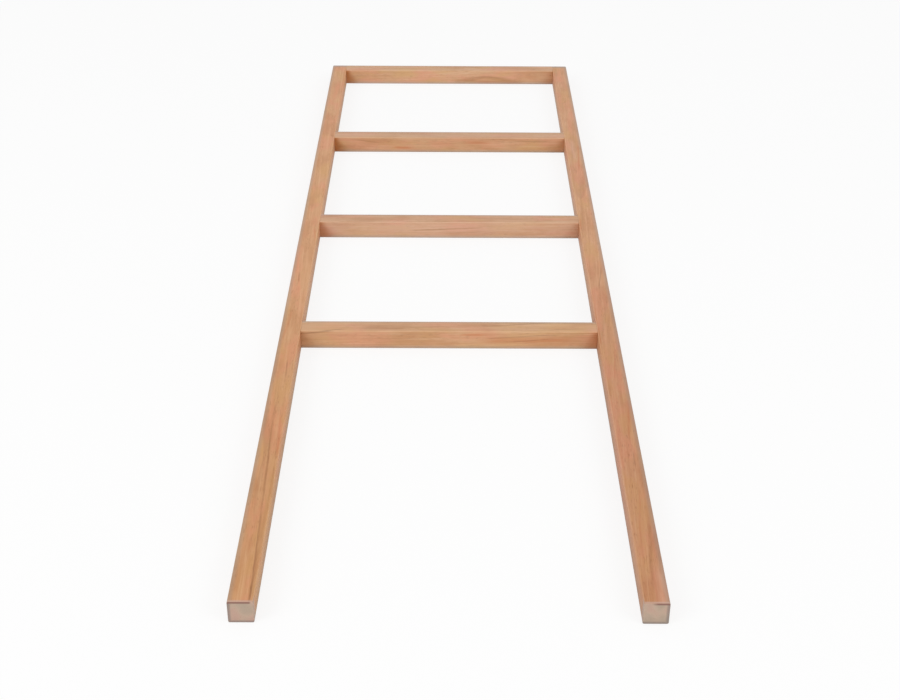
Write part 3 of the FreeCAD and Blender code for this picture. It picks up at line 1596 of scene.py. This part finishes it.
RIGHT_STILE = Grain(
    seed=2,
    pith=(-9, -48),
    drift=(0.045, 0.01),
    figure=0.45,
    tones=((0.853, 0.73, 0.64), (1.005, 0.945, 0.886)),
    turn=(-480, 150),
    foot_line_stretch=(-8, 20),
    streaks=drawn_on(
        Face.FRONT,
        (-930, -800, 7, 10, 10, 0.85, PALE),
        (360, 480, -2, -2, 7, 0.5, PALE),
        (-870, -690, -2, 9, 3.6, 0.5, BROWN, 50),
        (-800, -640, -8, 3, 2.4, 0.3, RUST, 40),
        (-612, -572, 3.6, 4.4, 1.8, 0.4, DARK, 12),
        (-560, -440, 2, 11, 2.8, 0.5, RUST, 40),
        (-420, -290, -3, 7, 1.8, 0.4, RUST, 40),
        (-760, -380, -14.4, -14.4, 1.8, 0.5, PALE),
        (-310, -190, -13.6, -13.4, 2, 0.7, RUST, 20),
        (230, 400, -14.4, -14.4, 1.8, 0.5, PALE),
        (-140, -45, -1.2, 8.6, 1.4, 0.45),
        (70, 125, -13, -11.6, 1.8, 0.6, RUST, 15),
        (60, 300, -9, -1, 2.6, 0.3, BROWN, 50),
        (300, 470, 2, 9, 2.4, 0.6, RUST, 50),
        (470, 620, -2, 2, 7, 0.5, SALMON, 60),
        (755, 850, -14, -13, 2.2, 0.7, RUST),
        (770, 860, -4, -2, 8, 0.5, SALMON),
    ),
)
TOP_RUNG = Grain(
    seed=3,
    pith=(-12, -40),
    drift=(0.01, 0.02),
    figure=0.35,
    tones=((1.025, 1.08, 1.1),),
    shade_by_ends=(0.72, 0.2),
    streaks=drawn_on(
        Face.FOOT_SIDE,
        (0, 168, -10, -13, 7.5, 0.6, BROWN, 30, 10.5),
        (20, 156, -9, -11, 6, 0.6, BROWN),
        (25, 120, -3, -2, 1.8, 0.3, DARK, 30, 3.6),
        (36, 160, -10, -11, 3, 0.5, RUST),
    )
    + drawn_on(
        Face.FRONT,
        (-218, -150, 12, 12.5, 5, 0.5, RUST),
        (35, 62, -5, -4.4, 1.4, 0.4, DARK, 12),
    ),
)
SECOND_RUNG = Grain(
    seed=4,
    pith=(10, -52),
    drift=(0.02, -0.01),
    figure=0.45,
    tones=((0.945, 0.957, 0.91),),
    shade_by_ends=(0.7, 0.25),
    streaks=drawn_on(
        Face.FRONT,
        (-260, 260, 2, 2, 22, 0.52, PALE),
        (60, 170, -1, 1, 6, 0.35, SALMON, 40),
    )
    + drawn_on(
        Face.FOOT_SIDE,
        (-114, -66, -5, -6, 4, 0.7, RUST, 18),
        (-196, -120, 11, 4, 2.6, 0.6, BROWN),
        (20, 90, 5, 4, 5, 0.6, RUST),
        (108, 206, 9, 8.4, 3, 0.75, BROWN),
    ),
)
THIRD_RUNG = Grain(
    seed=5,
    pith=(-6, -70),
    drift=(-0.015, 0.012),
    figure=0.35,
    tones=((0.975, 1.005, 1.05),),
    shade_by_ends=(0.56, 0.22),
    streaks=drawn_on(
        Face.FOOT_SIDE,
        (-260, 260, 2, 2, 22, 0.4, PALE),
        (-72, 60, -0.5, 4.4, 2.2, 0.7, BROWN),
        (-10, 70, -5, -3, 2.4, 0.35, BROWN),
    )
    + drawn_on(
        Face.FRONT,
        (40, 108, -0.8, 0, 2, 0.35, DARK, 20),
        (150, 214, 1, 3, 6, 0.6, SALMON, 24),
    ),
)
BOTTOM_RUNG = Grain(
    seed=6,
    pith=(8, -44),
    drift=(0.018, 0.01),
    figure=0.5,
    tones=((0.97, 0.985, 0.938),),
    shade_by_ends=(0.2, 0.45),
    streaks=drawn_on(
        Face.FRONT,
        (-250, 250, 0, 0, 22, 0.12, PALE),
        (-194, -150, 14.8, 9.6, 2, 0.6, DARK, 14),
        (-110, 10, 8, 0, 2.6, 0.5, BROWN),
        (40, 160, 0, -11, 2.4, 0.45),
        (130, 214, 10, 6, 2.4, 0.5, BROWN),
    )
    + drawn_on(
        Face.FOOT_SIDE,
        (-235, -168, 10, 14.6, 2.4, 0.6, DARK, 12),
        (10, 60, 9, 9.6, 3, 0.6, RUST, 16),
        (36, 200, -1, 1, 9, 0.55, RUST, 40),
        (40, 180, 3, 10, 1.6, 0.4, DARK, 40),
        (60, 175, -4, 3, 1.4, 0.35, DARK, 40),
    ),
)


def main() -> None:
    """Sets up the camera, builds and dresses the ladder, lights it and notes both sizes."""
    Camera().set_up()
    ladder = Ladder(
        stile_grain={"left_stile": LEFT_STILE, "right_stile": RIGHT_STILE},
        rung_grain={
            "top_rung": TOP_RUNG,
            "second_rung": SECOND_RUNG,
            "third_rung": THIRD_RUNG,
            "bottom_rung": BOTTOM_RUNG,
        },
    )
    for piece in ladder.build():
        size = piece.dimensions * PER_METRE
        faces = len(piece.data.polygons)
        log.info("%s: %.1f x %.1f x %.1f mm, %d faces", piece.name, size.x, size.y, size.z, faces)
    Studio().set_up()


if __name__ == "__main__":
    logging.basicConfig(level=logging.INFO, format="%(message)s")
    main()
